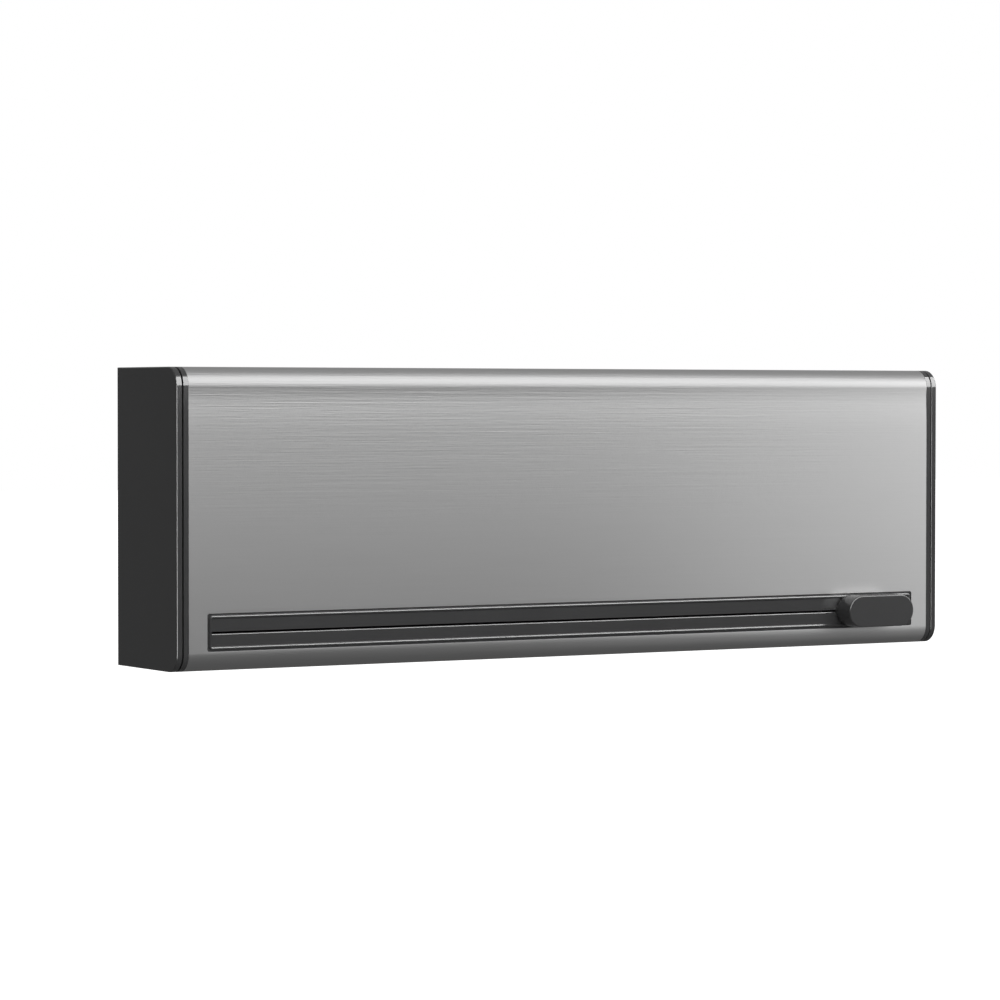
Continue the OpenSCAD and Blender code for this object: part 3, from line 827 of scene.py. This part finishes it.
def spigot_spring():
    """Coil spring of the right spigot, wound from round wire."""
    bm = bmesh.new()
    wire = 0.5
    mean_r = (SPRING_HIGH.z - SPRING_LOW.z) / 2 - wire
    x0, x1 = SPRING_LOW.x + wire, SPRING_HIGH.x - wire
    turns, per_turn, sides = 8, 32, 10
    count = turns * per_turn
    rings = []
    pitch = (x1 - x0) / (math.tau * turns)
    for i in range(count + 1):
        t = math.tau * turns * i / count
        centre = Vector((x0 + pitch * t, ROLL_Y + mean_r * math.cos(t), ROLL_Z + mean_r * math.sin(t)))
        out = Vector((0, math.cos(t), math.sin(t)))
        run = Vector((pitch, -mean_r * math.sin(t), mean_r * math.cos(t))).normalized()
        other = run.cross(out)
        ring = []
        for k in range(sides):
            a = math.tau * k / sides
            ring.append(bm.verts.new((centre + (out * math.cos(a) + other * math.sin(a)) * wire) * MM))
        rings.append(ring)
    for a, b in zip(rings, rings[1:]):
        for k in range(sides):
            m = (k + 1) % sides
            bm.faces.new((a[k], a[m], b[m], b[k]))
    bm.faces.new(rings[0][::-1])
    bm.faces.new(rings[-1])
    finish = FINISHES["spring_steel"]
    spring = finish_piece("return_spring", bm, finish, "housing", ["spigot_spring"])
    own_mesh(spring)
    return spring


# ---------------------------------------------------------------- camera, light and floor


CAMERA_PLACE = (-851.380, -1403.425, 48.412)
CAMERA_TURN = 31.0539
CAMERA_TILT = -1.5421
CAMERA_ROLL = 0.0346
CAMERA_LENS = 135.157


def make_camera():
    """Camera at the photograph's viewing angle: 31 degrees to the left of the front, almost level."""
    data = bpy.data.cameras.new("camera")
    data.lens = CAMERA_LENS
    data.sensor_width = 36
    data.clip_start = 0.05
    data.clip_end = 200
    camera = bpy.data.objects.new("camera", data)
    bpy.context.scene.collection.objects.link(camera)
    level = Matrix.Rotation(math.radians(90 + CAMERA_TILT), 4, "X")
    turned = Matrix.Rotation(math.radians(-CAMERA_TURN), 4, "Z") @ level
    rolled = turned @ Matrix.Rotation(math.radians(CAMERA_ROLL), 4, "Z")
    camera.matrix_world = Matrix.Translation(Vector(CAMERA_PLACE) * MM) @ rolled
    bpy.context.scene.camera = camera


def receivers(name, pieces):
    """A collection of the pieces that a light is limited to."""
    group = bpy.data.collections.new(name)
    for piece in pieces:
        group.objects.link(piece)
    return group


def softbox(name, azimuth, elevation, distance, radiance, only=None, diffuse=True, glossy=True):
    """Upright rectangular light, with its azimuth and elevation limits in degrees as seen from the origin."""
    middle = math.radians(sum(azimuth) / 2)
    half = math.radians((azimuth[1] - azimuth[0]) / 2)
    low, high = (distance * math.tan(math.radians(e)) for e in elevation)
    width = 2 * distance * math.tan(half)
    data = bpy.data.lights.new(name, "AREA")
    data.shape = "RECTANGLE"
    data.size = width
    data.size_y = high - low
    data.energy = radiance * math.pi * width * (high - low)
    light = bpy.data.objects.new(name, data)
    bpy.context.scene.collection.objects.link(light)
    level = (low + high) / 2
    light.location = (distance * math.sin(middle), -distance * math.cos(middle), level)
    inward = Vector((-math.sin(middle), math.cos(middle), 0))
    light.rotation_euler = inward.to_track_quat("-Z", "Y").to_euler()
    light.visible_camera = False
    light.visible_diffuse = diffuse
    light.visible_glossy = glossy
    if only:
        light.light_linking.receiver_collection = only


def make_lights(sheet, rims, bezel, knob):
    """Soft studio light: large boxes in front and to the right, and glints for each set of mouldings."""
    sheet_only = receivers("sheet_light", sheet)
    rims_only = receivers("rim_light", rims)
    trims_only = receivers("trim_light", rims[2:])
    bezel_only = receivers("bezel_light", bezel)
    knob_only = receivers("knob_light", knob)
    dark_only = receivers("moulding_light", rims + bezel + knob)
    softbox("front_low_box", (-20, 60), (5, 17), 0.6, 0.83)
    softbox("front_high_box", (-20, 60), (17, 60), 0.6, 1.15)
    softbox("low_right_box", (35, 50), (-16, 5), 0.6, 0.42, sheet_only)
    softbox("side_box", (50, 80), (-16, 28), 0.6, 0.76, sheet_only)
    softbox("under_right_box", (35, 70), (-45, -16), 0.6, 0.1, sheet_only)
    softbox("rim_glint", (5, 75), (8, 53.6), 0.8, 9.6, rims_only, diffuse=False)
    softbox("left_glint", (-50, 0), (-30, 45), 0.8, 10.0, rims_only, diffuse=False)
    softbox("right_glint", (75, 125), (-20, 18), 0.8, 8.0, trims_only, diffuse=False)
    softbox("bezel_glint", (5, 75), (8, 53.6), 0.8, 10.0, bezel_only, diffuse=False)
    softbox("knob_glint", (-45, 75), (8, 53.6), 0.8, 5.5, knob_only, diffuse=False)
    softbox("left_fill", (-170, -70), (-50, 50), 0.9, 0.08, dark_only)
    softbox("front_fill", (-50, 70), (-20, 50), 0.9, 0.5, dark_only, glossy=False)


# Brightness of the surround from straight down (0) over the horizon (0.5) to straight up (1).
SURROUND = ((0.0, 0.12), (0.40, 0.12), (0.45, 0.05), (0.52, 0.05), (0.56, 0.33), (1.0, 0.34))


def make_world():
    """Dim surround, a little lighter above the horizon; plain white where the camera sees it directly."""
    world = bpy.data.worlds.new("surround")
    bpy.context.scene.world = world
    world.use_nodes = True
    nodes, links = world.node_tree.nodes, world.node_tree.links
    nodes.clear()
    place = nodes.new("ShaderNodeTexCoord")
    split = nodes.new("ShaderNodeSeparateXYZ")
    height = nodes.new("ShaderNodeMapRange")
    height.inputs["From Min"].default_value = -1
    ramp = nodes.new("ShaderNodeValToRGB")
    while len(ramp.color_ramp.elements) < len(SURROUND):
        ramp.color_ramp.elements.new(0.5)
    for stop, (at, level) in zip(ramp.color_ramp.elements, SURROUND):
        stop.position = at
        stop.color = (level, level, level, 1)
    dim = nodes.new("ShaderNodeBackground")
    white = nodes.new("ShaderNodeBackground")
    white.inputs["Color"].default_value = (1, 1, 1, 1)
    path = nodes.new("ShaderNodeLightPath")
    mix = nodes.new("ShaderNodeMixShader")
    out = nodes.new("ShaderNodeOutputWorld")
    links.new(place.outputs["Generated"], split.inputs[0])
    links.new(split.outputs["Z"], height.inputs["Value"])
    links.new(height.outputs["Result"], ramp.inputs["Fac"])
    links.new(ramp.outputs["Color"], dim.inputs["Color"])
    links.new(path.outputs["Is Camera Ray"], mix.inputs[0])
    links.new(dim.outputs[0], mix.inputs[1])
    links.new(white.outputs[0], mix.inputs[2])
    links.new(mix.outputs[0], out.inputs["Surface"])


FLOOR_REACH = 60
FLOOR_Z = -1.6


def make_floor():
    """Plain pale floor far below the wall-mounted object."""
    bm = bmesh.new()
    for x, y in ((-1, -1), (1, -1), (1, 1), (-1, 1)):
        bm.verts.new((x * FLOOR_REACH, y * FLOOR_REACH, FLOOR_Z))
    bm.faces.new(bm.verts)
    mesh = bpy.data.meshes.new("floor")
    bm.to_mesh(mesh)
    bm.free()
    floor = bpy.data.objects.new("floor", mesh)
    bpy.context.scene.collection.objects.link(floor)
    pale = bpy.data.materials.new("pale_floor")
    pale.use_nodes = True
    shader = pale.node_tree.nodes["Principled BSDF"]
    shader.inputs["Base Color"].default_value = (0.9, 0.9, 0.9, 1)
    shader.inputs["Roughness"].default_value = 0.9
    shader.inputs["Emission Color"].default_value = (1, 1, 1, 1)
    shader.inputs["Emission Strength"].default_value = 1.0
    mesh.materials.append(pale)
    floor.visible_glossy = False
    floor.visible_diffuse = False


def make_object():
    """All pieces; returns those that have lights of their own: sheet, rims, bezel and knob."""
    paint_cad_nodes()
    rims = [
        end_panel("left_cover", "left_end_panel", -1),
        end_panel("right_cover", "right_end_panel", 1),
        end_trim("left_rim", "left_trim", -1),
        end_trim("right_rim", "right_trim", 1),
    ]
    bezel = [slot_bezel()]
    knob = [cutter_knob(), knob_shoe()]
    sheet = [steel_skin()]
    film_roll()
    spigot_spring()
    return sheet, rims, bezel, knob


def main():
    groups = make_object()
    make_camera()
    make_world()
    make_lights(*groups)
    make_floor()
    bpy.context.scene.view_settings.view_transform = "Standard"


main()
